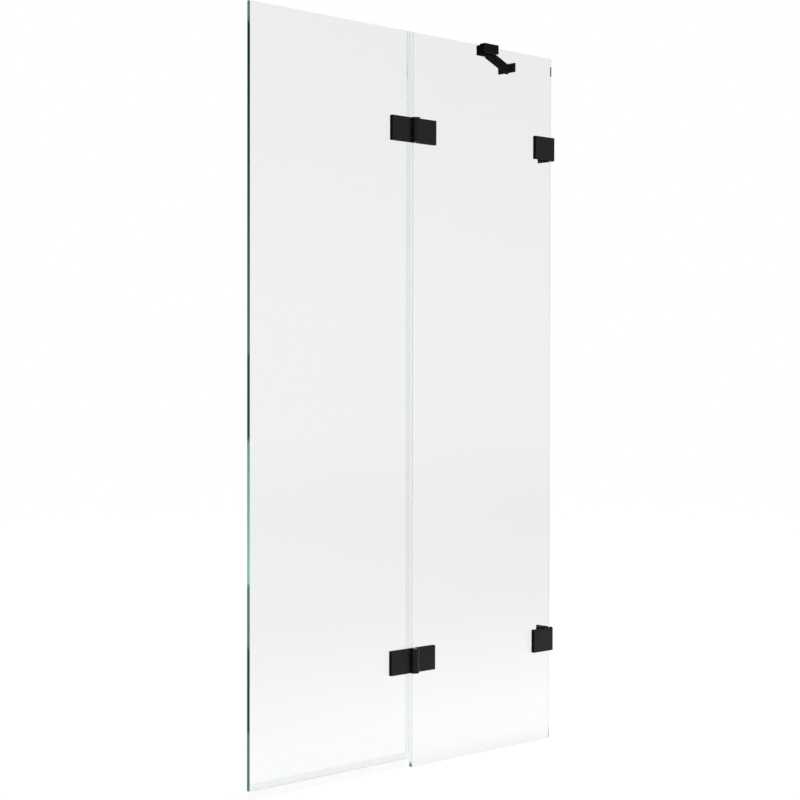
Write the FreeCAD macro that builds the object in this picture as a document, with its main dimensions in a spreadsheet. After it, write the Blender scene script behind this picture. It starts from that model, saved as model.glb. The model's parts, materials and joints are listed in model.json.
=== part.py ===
"""Two-panel bath screen: a fixed glass panel on the wall and a glass door hinged to it.

Units are millimetres. The origin is the middle of the fixed panel's bottom edge, on the bath rim.
+X runs along the screen to the wall, +Y to the bath side and +Z up. The door opens towards -Y.
"""
import FreeCAD, Part
import os
import Sketcher

# Driving dimensions: alias, value and what it measures.
SIZES = (
    ("glass_height", 1500, "rim to the top edge of both panels"),
    ("glass_thickness", 8, "both panels"),
    ("fixed_width", 422, "fixed panel along X"),
    ("door_width", 415, "door panel along X"),
    ("panel_gap", 6, "between the two glass edges"),
    ("wall_gap", 7, "fixed glass edge to the wall"),
    ("door_lift", 20, "rim to the door glass"),
    ("arris", 0.5, "ground bevel along the glass edges"),
    ("glass_hole", 10, "drilled hole round a clamp screw"),
    ("plate_height", 50, "hinge leaves, covers and wall plates"),
    ("plate_thickness", 8, "hinge leaves and bracket covers"),
    ("plate_round", 0.8, "rounding of the visible plate edges"),
    ("gasket_thickness", 1, "between metal and glass"),
    ("gasket_inset", 0.5, "gasket edge inside the plate edge"),
    ("hinge_inset", 200, "door's top or bottom edge to the hinge middle"),
    ("leaf_reach", 61.5, "hinge axis to the outer end of a leaf"),
    ("leaf_setback", 11.5, "hinge axis to the door leaf's near end"),
    ("fold_gap", 3, "between the leaves when the door is folded flat"),
    ("barrel_diameter", 20, "hinge knuckles"),
    ("barrel_clear", 0.5, "knuckle to the fixed leaf's plate"),
    ("end_knuckle", 8, "height of the door leaf's knuckles"),
    ("neck_thickness", 5, "neck between the door leaf and its knuckles"),
    ("pin_diameter", 8, "hinge pin"),
    ("pin_recess", 0.5, "pin end below the knuckle end"),
    ("bush_wall", 1.5, "hinge bush sleeve"),
    ("bush_flange", 1, "hinge bush flange, between the knuckles"),
    ("flange_inset", 0.5, "flange edge inside the knuckle edge"),
    ("fit_clear", 0.05, "radial clearance of round fits and end play"),
    ("screw_offset", 37, "hinge axis to the clamp screws"),
    ("screw_spacing", 24, "between a clamp's two screws"),
    ("screw_diameter", 6, "clamp screw shank"),
    ("screw_head", 10, "clamp screw head diameter"),
    ("head_height", 3, "clamp screw head"),
    ("thread_depth", 6, "screw hole in a front plate"),
    ("tip_clear", 0.5, "screw end to the bottom of its hole"),
    ("socket_flats", 4, "hexagon socket across flats"),
    ("socket_depth", 1.8, "hexagon socket"),
    ("inner_width", 24, "hinge plate on the bath side"),
    ("inner_height", 40, "plates and jaws on the bath side"),
    ("inner_thickness", 5, "plates and jaws on the bath side"),
    ("cover_width", 61, "bracket cover along X"),
    ("cover_wall_clear", 6, "bracket cover to the wall"),
    ("wall_plate_thickness", 5, "wall bracket flange"),
    ("wall_plate_reach", 38, "wall bracket flange behind the glass"),
    ("jaw_length", 43, "wall bracket jaw along X"),
    ("wall_hole", 5.5, "screw holes in the wall flange"),
    ("wall_hole_spacing", 30, "between the wall flange's holes"),
    ("wall_hole_inset", 14, "flange's back end to its holes"),
    ("seal_wall", 1.2, "clear seal walls"),
    ("seal_fit", 0.1, "seal channel to the glass"),
    ("seal_leg", 12, "seal legs on the glass faces"),
    ("seal_end_clear", 0.5, "seal ends to hinges and to each other"),
    ("fin_thickness", 1.6, "joint seal fin"),
    ("fin_setback", 2, "joint seal fin in front of the glass middle"),
    ("fin_clear", 0.4, "joint seal fin to the fixed glass"),
    ("lip_thickness", 1.2, "bottom seal lip"),
    ("lip_clear", 3, "bottom seal lip to the rim"),
    ("bottom_seal_short", 5, "bottom seal's end to the door's hinge edge"),
    ("support_offset", 17, "panel middle to the support clamp"),
    ("clamp_width", 42, "support clamp along X"),
    ("clamp_jaw", 3, "support clamp walls"),
    ("clamp_bridge", 5, "support clamp over the glass edge"),
    ("clamp_grip", 13.5, "front jaw below the glass top"),
    ("liner_thickness", 1, "support clamp liner"),
    ("lug_depth", 13.5, "support clamp lug behind the back jaw"),
    ("arm_height", 20, "support arm, lug and foot"),
    ("arm_thickness", 8, "support arm"),
    ("arm_drop", 7, "glass top to the arm's middle"),
    ("arm_angle", 30.6, "arm to the glass, in degrees"),
    ("arm_shoulder", 20, "near pivot to the arm's full height"),
    ("tongue_height", 8, "arm tongue and foot lug"),
    ("tongue_clear", 0.3, "tongue and lug in their slots"),
    ("pivot_clear", 0.5, "rounded pivot ends to what they turn past"),
    ("pivot_pin", 4, "support pivot pins"),
    ("grub_diameter", 5, "support clamp grub screws"),
    ("grub_spacing", 22, "between the grub screws"),
    ("grub_socket", 2.5, "grub screw socket across flats"),
    ("grub_recess", 0.2, "grub screw end inside the jaw"),
    ("foot_thickness", 5, "support foot on the wall"),
    ("foot_length", 50, "support foot along Y"),
    ("foot_tail", 14.5, "foot's near end to the pivot"),
    ("foot_standoff", 8, "foot plate to the pivot"),
    ("foot_rise", 4.5, "foot plate's middle above the arm's middle"),
    ("foot_hole", 5, "screw holes in the foot"),
    ("foot_hole_spacing", 17, "between the foot's holes"),
    ("foot_hole_inset", 8, "foot's far end to its nearest hole"),
)

# A hexagon's corner lies this far from its middle, for flats one apart.
HEX_CORNER = "0.57735027"

# Places along X and Z, as expressions over the sheet.
FIXED_EDGE = "(-Sizes.fixed_width / 2)"
DOOR_EDGE = f"({FIXED_EDGE} - Sizes.panel_gap)"
DOOR_FREE_EDGE = f"({DOOR_EDGE} - Sizes.door_width)"
WALL_X = "(Sizes.fixed_width / 2 + Sizes.wall_gap)"
AXIS_X = f"({FIXED_EDGE} - Sizes.panel_gap / 2)"
UPPER_Z = "(Sizes.glass_height - Sizes.hinge_inset)"
LOWER_Z = "(Sizes.door_lift + Sizes.hinge_inset)"

# Depths along Y from the hinge axis, through the clamped stack from the room to the bath side.
LEAF_FRONT = "(Sizes.fold_gap / 2)"
LEAF_BACK = f"({LEAF_FRONT} + Sizes.plate_thickness)"
GLASS_FRONT = f"({LEAF_BACK} + Sizes.gasket_thickness)"
GLASS_BACK = f"({GLASS_FRONT} + Sizes.glass_thickness)"
INNER_FRONT = f"({GLASS_BACK} + Sizes.gasket_thickness)"
INNER_BACK = f"({INNER_FRONT} + Sizes.inner_thickness)"
AXIS_Y = f"(-{GLASS_FRONT} - Sizes.glass_thickness / 2)"

# Heights of the hinge knuckles from the hinge middle.
HALF_PLATE = "(Sizes.plate_height / 2)"
END_INNER = f"({HALF_PLATE} - Sizes.end_knuckle)"
MIDDLE_TOP = f"({END_INNER} - Sizes.bush_flange - Sizes.fit_clear)"
BARREL_RADIUS = "(Sizes.barrel_diameter / 2)"

# The support's pivots: the near one behind the clamp, the far one at the foot on the wall.
CLAMP_BACK = "(Sizes.glass_thickness / 2 + Sizes.liner_thickness + Sizes.clamp_jaw)"
ARM_Z = "(Sizes.glass_height - Sizes.arm_drop)"
NEAR_X = "Sizes.support_offset"
NEAR_Y = f"({CLAMP_BACK} + Sizes.lug_depth - Sizes.arm_thickness / 2)"
FAR_X = f"({WALL_X} - Sizes.foot_thickness - Sizes.foot_standoff)"
ARM_RUN = f"({FAR_X} - {NEAR_X})"
FAR_Y = f"({NEAR_Y} + {ARM_RUN} * tan(Sizes.arm_angle * 1 deg))"
ARM_LENGTH = f"({ARM_RUN} / cos(Sizes.arm_angle * 1 deg))"

DOC = FreeCAD.newDocument("bath_screen")
SHEET = DOC.addObject("Spreadsheet::Sheet", "Sizes")
PIECES = []


def fill_sheet():
    """Write the driving dimensions into the sheet, one row each."""
    for row, (alias, value, meaning) in enumerate(SIZES, start=1):
        SHEET.set(f"A{row}", meaning)
        SHEET.set(f"B{row}", str(value))
        SHEET.setAlias(f"B{row}", alias)
    DOC.recompute()


def new_body(label, x="0", y="0", z="0"):
    """A piece with its own origin at the given place."""
    body = DOC.addObject("PartDesign::Body", label)
    body.Label = label
    for axis, place in (("x", x), ("y", y), ("z", z)):
        body.setExpression(f"Placement.Base.{axis}", place)
    PIECES.append(body)
    return body


def new_sketch(body, name, plane, start):
    """A sketch on one of the body's own planes, moved by start along the plane's normal."""
    sketch = body.newObject("Sketcher::SketchObject", f"{body.Name}_{name}")
    role = f"{plane}_Plane"
    support = next(item for item in body.Origin.OriginFeatures if item.Role == role)
    sketch.AttachmentSupport = [(support, "")]
    sketch.MapMode = "FlatFace"
    sketch.setExpression("AttachmentOffset.Base.z", start)
    return sketch


def tie(sketch, kind, geometry, point, expression):
    """Bind one coordinate of a sketch point, measured from the sketch's origin."""
    index = sketch.addConstraint(Sketcher.Constraint(kind, -1, 1, geometry, point, 1.0))
    sketch.renameConstraint(index, f"place{index}")
    sketch.setExpression(f"Constraints.place{index}", expression)


def polygon(sketch, corners):
    """A closed outline through corners, each an (x, y) pair of expressions."""
    first = sketch.GeometryCount
    count = len(corners)
    for index in range(count):
        here = FreeCAD.Vector(index, index * index, 0)
        following = FreeCAD.Vector(index + 1, (index + 1) ** 2, 0)
        sketch.addGeometry(Part.LineSegment(here, following), False)
    for index in range(count):
        after = first + (index + 1) % count
        sketch.addConstraint(Sketcher.Constraint("Coincident", first + index, 2, after, 1))
    for index, (x, y) in enumerate(corners):
        tie(sketch, "DistanceX", first + index, 1, x)
        tie(sketch, "DistanceY", first + index, 1, y)


def rectangle(sketch, left, right, low, high):
    """A rectangle between two X and two Y expressions."""
    polygon(sketch, ((left, low), (right, low), (right, high), (left, high)))


def circle(sketch, x, y, radius):
    """A circle about an (x, y) pair of expressions."""
    start = Part.Circle(FreeCAD.Vector(0, 0, 0), FreeCAD.Vector(0, 0, 1), 1.0)
    geometry = sketch.addGeometry(start, False)
    tie(sketch, "DistanceX", geometry, 3, x)
    tie(sketch, "DistanceY", geometry, 3, y)
    index = sketch.addConstraint(Sketcher.Constraint("Radius", geometry, 1.0))
    sketch.renameConstraint(index, f"radius{index}")
    sketch.setExpression(f"Constraints.radius{index}", radius)


def hexagon(sketch, x, y, flats):
    """A regular hexagon about (x, y), with its corners along X."""
    far = f"{flats} * {HEX_CORNER}"
    half = f"{flats} / 2"
    polygon(sketch, (
        (f"{x} - {far}", y), (f"{x} - {far} / 2", f"{y} - {half}"),
        (f"{x} + {far} / 2", f"{y} - {half}"), (f"{x} + {far}", y),
        (f"{x} + {far} / 2", f"{y} + {half}"), (f"{x} - {far} / 2", f"{y} + {half}"),
    ))


def extrude(body, sketch, depth):
    """Add the sketch's outline, carried along the sketch's normal by depth."""
    pad = body.newObject("PartDesign::Pad", f"{sketch.Name}_pad")
    pad.Profile = sketch
    pad.setExpression("Length", depth)
    sketch.Visibility = False
    DOC.recompute()
    return pad


def cut(body, sketch, depth):
    """Remove the sketch's outline, carried along the sketch's normal by depth."""
    before = body.Shape.Volume
    pocket = body.newObject("PartDesign::Pocket", f"{sketch.Name}_cut")
    pocket.Profile = sketch
    pocket.Reversed = True
    pocket.setExpression("Length", depth)
    DOC.recompute()
    if before - body.Shape.Volume < 1e-3:
        raise RuntimeError(f"{sketch.Name} cuts nothing from {body.Label}")
    return pocket


def outer_edges(shape, directions):
    """Names of the outline edges of the outermost flat faces that look along the directions."""
    outline = []
    for direction in directions:
        normal = FreeCAD.Vector(*direction)
        facing = [face for face in shape.Faces if isinstance(face.Surface, Part.Plane)
                  and (face.normalAt(0, 0) - normal).Length < 1e-6]
        reach = max(face.CenterOfMass.dot(normal) for face in facing)
        for face in facing:
            if reach - face.CenterOfMass.dot(normal) < 1e-6:
                outline.extend(face.OuterWire.Edges)
    return [f"Edge{number}" for number, edge in enumerate(shape.Edges, start=1)
            if any(edge.isSame(picked) for picked in outline)]


def ease_edges(body, kind, directions, size_name, amount):
    """Fillet or chamfer the outline of the body's outermost faces along the directions."""
    base = body.Tip
    names = outer_edges(base.Shape, directions)
    feature = body.newObject(f"PartDesign::{kind}", f"{body.Name}_{kind.lower()}")
    feature.Base = (base, names)
    feature.setExpression(size_name, amount)
    DOC.recompute()
    return feature


def round_plate(body):
    """Round the room-side outline of a plate."""
    ease_edges(body, "Fillet", ((0, -1, 0),), "Radius", "Sizes.plate_round")


def slab(body, name, back, thickness, left, right, low, high):
    """A flat slab on the XZ plane, from its back face towards the room by thickness."""
    sketch = new_sketch(body, name, "XZ", f"-{back}")
    rectangle(sketch, left, right, low, high)
    return extrude(body, sketch, thickness)


def screw_places(x):
    """The two places of a clamp's screws, as (x, z) pairs."""
    return ((x, "-Sizes.screw_spacing / 2"), (x, "Sizes.screw_spacing / 2"))


def drill(body, name, back, depth, places, diameter):
    """Round holes along Y from the back face towards the room."""
    sketch = new_sketch(body, name, "XZ", f"-{back}")
    for x, z in places:
        circle(sketch, x, z, f"{diameter} / 2")
    return cut(body, sketch, depth)


def screw_hole():
    """Diameter of the hole that a clamp screw passes through."""
    return "(Sizes.screw_diameter + 2 * Sizes.fit_clear)"


def glass_panel(label, left, right, bottom, holes):
    """A toughened panel with ground arrises and drilled screw holes."""
    body = new_body(label)
    face = "Sizes.glass_thickness / 2"
    slab(body, "sheet", face, "Sizes.glass_thickness", left, right, bottom, "Sizes.glass_height")
    ease_edges(body, "Chamfer", ((0, -1, 0), (0, 1, 0)), "Size", "Sizes.arris")
    drill(body, "holes", face, "Sizes.glass_thickness", holes, "Sizes.glass_hole")


def glass_holes(x):
    """Screw holes in the glass at both clamp heights."""
    return [(x, f"{height} + {z}") for height in (LOWER_Z, UPPER_Z) for _, z in screw_places(x)]


def front_plate_holes(body, x):
    """Blind screw holes in a room-side plate, from the glass side."""
    drill(body, "threads", LEAF_BACK, "Sizes.thread_depth", screw_places(x), screw_hole())


def counterbored_holes(body, x):
    """Screw holes with head recesses in a bath-side plate."""
    places = screw_places(x)
    drill(body, "clearance", INNER_BACK, "Sizes.inner_thickness", places, screw_hole())
    recess = "(Sizes.screw_head + 2 * Sizes.fit_clear)"
    drill(body, "recesses", INNER_BACK, "Sizes.head_height", places, recess)


def gasket(label, place, back, left, right, half_height, x):
    """A flat gasket under a clamp plate, a little smaller than the plate."""
    body = new_body(label, *place)
    inset = "Sizes.gasket_inset"
    slab(body, "pad", back, "Sizes.gasket_thickness", f"{left} + {inset}", f"{right} - {inset}",
         f"-{half_height} + {inset}", f"{half_height} - {inset}")
    drill(body, "holes", back, "Sizes.gasket_thickness", screw_places(x), screw_hole())
    return body


def sleeved_gasket(label, place, left, right, half_height, x):
    """A bath-side gasket whose sleeves keep the screws off the glass."""
    body = gasket(label, place, INNER_FRONT, left, right, half_height, x)
    sketch = new_sketch(body, "sleeves", "XZ", f"-{GLASS_BACK}")
    for middle, z in screw_places(x):
        circle(sketch, middle, z, "Sizes.glass_hole / 2 - Sizes.fit_clear")
        circle(sketch, middle, z, f"{screw_hole()} / 2")
    extrude(body, sketch, "(Sizes.glass_thickness - Sizes.tip_clear)")


def clamp_screws(label, place, x):
    """The two socket screws of a clamp, with their heads on the bath side."""
    body = new_body(label, *place)
    seat = f"({INNER_BACK} - Sizes.head_height)"
    shank = new_sketch(body, "shank", "XZ", f"-{seat}")
    head = new_sketch(body, "head", "XZ", f"-{INNER_BACK}")
    socket = new_sketch(body, "socket", "XZ", f"-{INNER_BACK}")
    for middle, z in screw_places(x):
        circle(shank, middle, z, "Sizes.screw_diameter / 2")
        circle(head, middle, z, "Sizes.screw_head / 2")
        hexagon(socket, middle, z, "Sizes.socket_flats")
    extrude(body, head, "Sizes.head_height")
    extrude(body, shank, f"({seat} - {LEAF_BACK} + Sizes.thread_depth - Sizes.tip_clear)")
    cut(body, socket, "Sizes.socket_depth")


def inner_plate(label, place, x):
    """A hinge's plate on the bath side of the glass."""
    body = new_body(label, *place)
    slab(body, "plate", INNER_BACK, "Sizes.inner_thickness", f"{x} - Sizes.inner_width / 2",
         f"{x} + Sizes.inner_width / 2", "-Sizes.inner_height / 2", "Sizes.inner_height / 2")
    ease_edges(body, "Fillet", ((0, 1, 0),), "Radius", "Sizes.plate_round")
    counterbored_holes(body, x)


def knuckle(body, name, low, high, neck_end, neck_front):
    """A knuckle about the hinge axis and the neck that joins it to its leaf's plate."""
    height = f"({high} - {low})"
    neck = new_sketch(body, f"{name}_neck", "XY", low)
    rectangle(neck, neck_end, "0", neck_front, LEAF_BACK)
    extrude(body, neck, height)
    barrel = new_sketch(body, f"{name}_barrel", "XY", low)
    circle(barrel, "0", "0", BARREL_RADIUS)
    extrude(body, barrel, height)


def bore(body, low, high, diameter):
    """A round hole about the hinge axis."""
    sketch = new_sketch(body, "bore", "XY", low)
    circle(sketch, "0", "0", f"{diameter} / 2")
    cut(body, sketch, f"({high} - {low})")


def door_leaf(label, place):
    """The door's hinge leaf, with a knuckle at each end of the barrel."""
    body = new_body(label, *place)
    slab(body, "plate", LEAF_BACK, "Sizes.plate_thickness", "-Sizes.leaf_reach",
         "-Sizes.leaf_setback", f"-{HALF_PLATE}", HALF_PLATE)
    round_plate(body)
    neck_front = f"({LEAF_BACK} - Sizes.neck_thickness)"
    neck_end = "-(Sizes.leaf_setback + Sizes.plate_round)"
    knuckle(body, "low", f"-{HALF_PLATE}", f"-{END_INNER}", neck_end, neck_front)
    knuckle(body, "high", END_INNER, HALF_PLATE, neck_end, neck_front)
    bush_hole = "(Sizes.pin_diameter + 2 * Sizes.bush_wall + 4 * Sizes.fit_clear)"
    bore(body, f"-{HALF_PLATE}", HALF_PLATE, bush_hole)
    front_plate_holes(body, "-Sizes.screw_offset")


def fixed_leaf(label, place):
    """The fixed panel's hinge leaf, with the long middle knuckle."""
    body = new_body(label, *place)
    near = f"({BARREL_RADIUS} + Sizes.barrel_clear)"
    slab(body, "plate", LEAF_BACK, "Sizes.plate_thickness", near, "Sizes.leaf_reach",
         f"-{HALF_PLATE}", HALF_PLATE)
    round_plate(body)
    knuckle(body, "middle", f"-{MIDDLE_TOP}", MIDDLE_TOP, f"({near} + Sizes.plate_round)", LEAF_FRONT)
    bore(body, f"-{MIDDLE_TOP}", MIDDLE_TOP, "(Sizes.pin_diameter + 2 * Sizes.fit_clear)")
    front_plate_holes(body, "Sizes.screw_offset")


def hinge_pin(label, place):
    """The steel pin through all three knuckles."""
    body = new_body(label, *place)
    end = f"({HALF_PLATE} - Sizes.pin_recess)"
    sketch = new_sketch(body, "round", "XY", f"-{end}")
    circle(sketch, "0", "0", "Sizes.pin_diameter / 2")
    extrude(body, sketch, f"(2 * {end})")
    ease_edges(body, "Chamfer", ((0, 0, 1), (0, 0, -1)), "Size", "Sizes.pin_recess")


def hinge_bushes(label, place):
    """Two flanged bushes in the door leaf's knuckles, with their flanges on the middle knuckle."""
    body = new_body(label, *place)
    inside = "(Sizes.pin_diameter / 2 + Sizes.fit_clear)"
    outside = f"({inside} + Sizes.bush_wall)"
    flange_edge = f"({BARREL_RADIUS} - Sizes.flange_inset)"
    flange_inner = f"({END_INNER} - Sizes.bush_flange)"
    for name, flange_low, sleeve_low in (("low", f"-{END_INNER}", f"-{HALF_PLATE}"),
                                         ("high", flange_inner, END_INNER)):
        flange = new_sketch(body, f"{name}_flange", "XY", flange_low)
        circle(flange, "0", "0", flange_edge)
        circle(flange, "0", "0", inside)
        extrude(body, flange, "Sizes.bush_flange")
        sleeve = new_sketch(body, f"{name}_sleeve", "XY", sleeve_low)
        circle(sleeve, "0", "0", outside)
        circle(sleeve, "0", "0", inside)
        extrude(body, sleeve, "Sizes.end_knuckle")


def hinge_side(name, place, left, right, x):
    """Gaskets, bath-side plate and screws of one side of a hinge."""
    half_inner = "Sizes.inner_height / 2"
    inner_left = f"{x} - Sizes.inner_width / 2"
    inner_right = f"{x} + Sizes.inner_width / 2"
    gasket(f"{name}_front_gasket", place, GLASS_FRONT, left, right, HALF_PLATE, x)
    sleeved_gasket(f"{name}_back_gasket", place, inner_left, inner_right, half_inner, x)
    inner_plate(f"{name}_inner_plate", place, x)
    clamp_screws(f"{name}_screws", place, x)


def hinge(name, height):
    """One glass-to-glass hinge about the vertical axis in front of the panel gap."""
    place = (AXIS_X, AXIS_Y, height)
    door_leaf(f"{name}_hinge_door_leaf", place)
    fixed_leaf(f"{name}_hinge_fixed_leaf", place)
    hinge_pin(f"{name}_hinge_pin", place)
    hinge_bushes(f"{name}_hinge_bushes", place)
    hinge_side(f"{name}_hinge_door", place, "-Sizes.leaf_reach", "-Sizes.leaf_setback",
               "-Sizes.screw_offset")
    hinge_side(f"{name}_hinge_fixed", place, f"({BARREL_RADIUS} + Sizes.barrel_clear)",
               "Sizes.leaf_reach", "Sizes.screw_offset")


def wall_flange(label, place):
    """The bracket on the wall: a flange with open screw holes and a jaw behind the glass."""
    body = new_body(label, *place)
    flange = new_sketch(body, "flange", "YZ", "-Sizes.wall_plate_thickness")
    back = f"({GLASS_BACK} + Sizes.wall_plate_reach)"
    rectangle(flange, LEAF_BACK, back, f"-{HALF_PLATE}", HALF_PLATE)
    extrude(body, flange, "Sizes.wall_plate_thickness")
    jaw_end = "-(Sizes.wall_plate_thickness + Sizes.jaw_length)"
    slab(body, "jaw", INNER_BACK, "Sizes.inner_thickness", jaw_end, "-Sizes.wall_plate_thickness",
         "-Sizes.inner_height / 2", "Sizes.inner_height / 2")
    counterbored_holes(body, bracket_screw_x())
    holes = new_sketch(body, "wall_holes", "YZ", "-Sizes.wall_plate_thickness")
    for side in ("-", "+"):
        circle(holes, f"{back} - Sizes.wall_hole_inset", f"{side} Sizes.wall_hole_spacing / 2",
               "Sizes.wall_hole / 2")
    cut(body, holes, "Sizes.wall_plate_thickness")


def bracket_screw_x():
    """The clamp screws stand under the middle of the bracket cover."""
    return "(-Sizes.cover_wall_clear - Sizes.cover_width / 2)"


def wall_bracket(name, height):
    """One wall bracket: flange with jaw, room-side cover, gaskets and clamp screws."""
    place = (WALL_X, AXIS_Y, height)
    x = bracket_screw_x()
    cover_left = "(-Sizes.cover_wall_clear - Sizes.cover_width)"
    glass_edge = "(-Sizes.wall_gap)"
    jaw_left = "(-Sizes.wall_plate_thickness - Sizes.jaw_length)"
    wall_flange(f"{name}_wall_bracket", place)
    cover = new_body(f"{name}_bracket_cover", *place)
    slab(cover, "plate", LEAF_BACK, "Sizes.plate_thickness", cover_left, "-Sizes.cover_wall_clear",
         f"-{HALF_PLATE}", HALF_PLATE)
    round_plate(cover)
    front_plate_holes(cover, x)
    gasket(f"{name}_bracket_front_gasket", place, GLASS_FRONT, cover_left, glass_edge, HALF_PLATE, x)
    sleeved_gasket(f"{name}_bracket_back_gasket", place, jaw_left, glass_edge,
                   "Sizes.inner_height / 2", x)
    clamp_screws(f"{name}_bracket_screws", place, x)


def joint_seal(label, low, high):
    """A clear seal on the door's hinge edge: a channel on the glass and a fin across the gap."""
    body = new_body(label)
    inner = "(Sizes.glass_thickness / 2 + Sizes.seal_fit)"
    outer = f"({inner} + Sizes.seal_wall)"
    leg_end = f"({DOOR_EDGE} - Sizes.seal_leg)"
    floor = f"({DOOR_EDGE} + Sizes.seal_fit)"
    web = f"({floor} + Sizes.seal_wall)"
    tip = f"({FIXED_EDGE} - Sizes.fin_clear)"
    fin_front = "(-Sizes.fin_setback - Sizes.fin_thickness / 2)"
    fin_back = "(-Sizes.fin_setback + Sizes.fin_thickness / 2)"
    sketch = new_sketch(body, "profile", "XY", low)
    polygon(sketch, (
        (leg_end, f"-{outer}"), (web, f"-{outer}"), (web, fin_front), (tip, fin_front),
        (tip, fin_back), (web, fin_back), (web, outer), (leg_end, outer),
        (leg_end, inner), (floor, inner), (floor, f"-{inner}"), (leg_end, f"-{inner}"),
    ))
    extrude(body, sketch, f"({high} - {low})")


def joint_seals():
    """Three lengths of joint seal, below, between and above the hinges."""
    gap = "Sizes.seal_end_clear"
    stops = f"({HALF_PLATE} + {gap})"
    joint_seal("lower_joint_seal", f"(Sizes.door_lift + Sizes.seal_leg + {gap})", f"({LOWER_Z} - {stops})")
    joint_seal("middle_joint_seal", f"({LOWER_Z} + {stops})", f"({UPPER_Z} - {stops})")
    joint_seal("upper_joint_seal", f"({UPPER_Z} + {stops})", "Sizes.glass_height")


def bottom_seal():
    """The clear seal under the door: a channel on the glass and a soft lip down to the rim."""
    body = new_body("bottom_seal")
    inner = "(Sizes.glass_thickness / 2 + Sizes.seal_fit)"
    outer = f"({inner} + Sizes.seal_wall)"
    top = "(Sizes.door_lift + Sizes.seal_leg)"
    floor = "(Sizes.door_lift - Sizes.seal_fit)"
    web = f"({floor} - Sizes.seal_wall)"
    half_lip = "(Sizes.lip_thickness / 2)"
    end = f"({DOOR_EDGE} - Sizes.bottom_seal_short)"
    sketch = new_sketch(body, "profile", "YZ", DOOR_FREE_EDGE)
    polygon(sketch, (
        (f"-{outer}", top), (f"-{outer}", web), (f"-{half_lip}", web), (f"-{half_lip}", "Sizes.lip_clear"),
        (half_lip, "Sizes.lip_clear"), (half_lip, web), (outer, web), (outer, top),
        (inner, top), (inner, floor), (f"-{inner}", floor), (f"-{inner}", top),
    ))
    extrude(body, sketch, f"({end} - {DOOR_FREE_EDGE})")


def support_clamp():
    """The clamp over the glass top, with the forked lug for the arm behind it."""
    body = new_body("support_clamp", NEAR_X, "0", "Sizes.glass_height")
    slot = "(Sizes.glass_thickness / 2 + Sizes.liner_thickness)"
    jaw = CLAMP_BACK
    lug_back = f"({CLAMP_BACK} + Sizes.lug_depth)"
    ceiling = "Sizes.liner_thickness"
    top = f"({ceiling} + Sizes.clamp_bridge)"
    lug_low = "(-Sizes.arm_drop - Sizes.arm_height / 2)"
    lug_high = "(-Sizes.arm_drop + Sizes.arm_height / 2)"
    profile = new_sketch(body, "profile", "YZ", "-Sizes.clamp_width / 2")
    polygon(profile, (
        (f"-{jaw}", "-Sizes.clamp_grip"), (f"-{slot}", "-Sizes.clamp_grip"), (f"-{slot}", ceiling),
        (slot, ceiling), (slot, lug_low), (lug_back, lug_low), (lug_back, lug_high),
        (jaw, lug_high), (jaw, top), (f"-{jaw}", top),
    ))
    extrude(body, profile, "Sizes.clamp_width")
    ease_edges(body, "Fillet", ((0, -1, 0),), "Radius", "Sizes.plate_round")
    fork_side = "(Sizes.arm_thickness / 2 + Sizes.pivot_clear)"
    fork = new_sketch(body, "fork", "YZ", f"-{fork_side}")
    half_slot = "(Sizes.tongue_height / 2 + Sizes.tongue_clear)"
    rectangle(fork, jaw, lug_back, f"-Sizes.arm_drop - {half_slot}", f"-Sizes.arm_drop + {half_slot}")
    cut(body, fork, f"({fork_side} + Sizes.clamp_width / 2)")
    pin = new_sketch(body, "pin_hole", "XY", lug_low)
    circle(pin, "0", NEAR_Y, "Sizes.pivot_pin / 2 + Sizes.fit_clear")
    cut(body, pin, "Sizes.arm_height")
    grubs = new_sketch(body, "grub_holes", "XZ", f"-{jaw}")
    for side in ("-", "+"):
        circle(grubs, f"{side} Sizes.grub_spacing / 2", "-Sizes.arm_drop",
               "Sizes.grub_diameter / 2 + Sizes.fit_clear")
    cut(body, grubs, "Sizes.clamp_jaw")


def support_liner():
    """The soft liner between the clamp and the glass edge."""
    body = new_body("support_liner", NEAR_X, "0", "Sizes.glass_height")
    inner = "(Sizes.glass_thickness / 2)"
    outer = f"({inner} + Sizes.liner_thickness)"
    low = "(-Sizes.clamp_grip + Sizes.gasket_inset)"
    half = "(Sizes.clamp_width / 2 - Sizes.gasket_inset)"
    profile = new_sketch(body, "profile", "YZ", f"-{half}")
    polygon(profile, (
        (f"-{outer}", low), (f"-{inner}", low), (f"-{inner}", "0"), (inner, "0"),
        (inner, low), (outer, low), (outer, "Sizes.liner_thickness"),
        (f"-{outer}", "Sizes.liner_thickness"),
    ))
    extrude(body, profile, f"(2 * {half})")


def support_grubs():
    """Two grub screws in the back jaw, hidden in the lug's slot, that press the liner to the glass."""
    body = new_body("support_grub_screws", NEAR_X, "0", ARM_Z)
    face = f"({CLAMP_BACK} - Sizes.grub_recess)"
    rounds = new_sketch(body, "round", "XZ", f"-{face}")
    sockets = new_sketch(body, "socket", "XZ", f"-{face}")
    for side in ("-", "+"):
        x = f"{side} Sizes.grub_spacing / 2"
        circle(rounds, x, "0", "Sizes.grub_diameter / 2")
        hexagon(sockets, x, "0", "Sizes.grub_socket")
    length = "(Sizes.clamp_jaw - Sizes.grub_recess)"
    extrude(body, rounds, length)
    cut(body, sockets, f"{length} / 2")


def rounded_end(body, name, low, height, x, radius):
    """A round upright end about a pivot on the arm's or the foot's own X axis."""
    sketch = new_sketch(body, name, "XY", low)
    circle(sketch, x, "0", radius)
    extrude(body, sketch, height)


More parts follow.
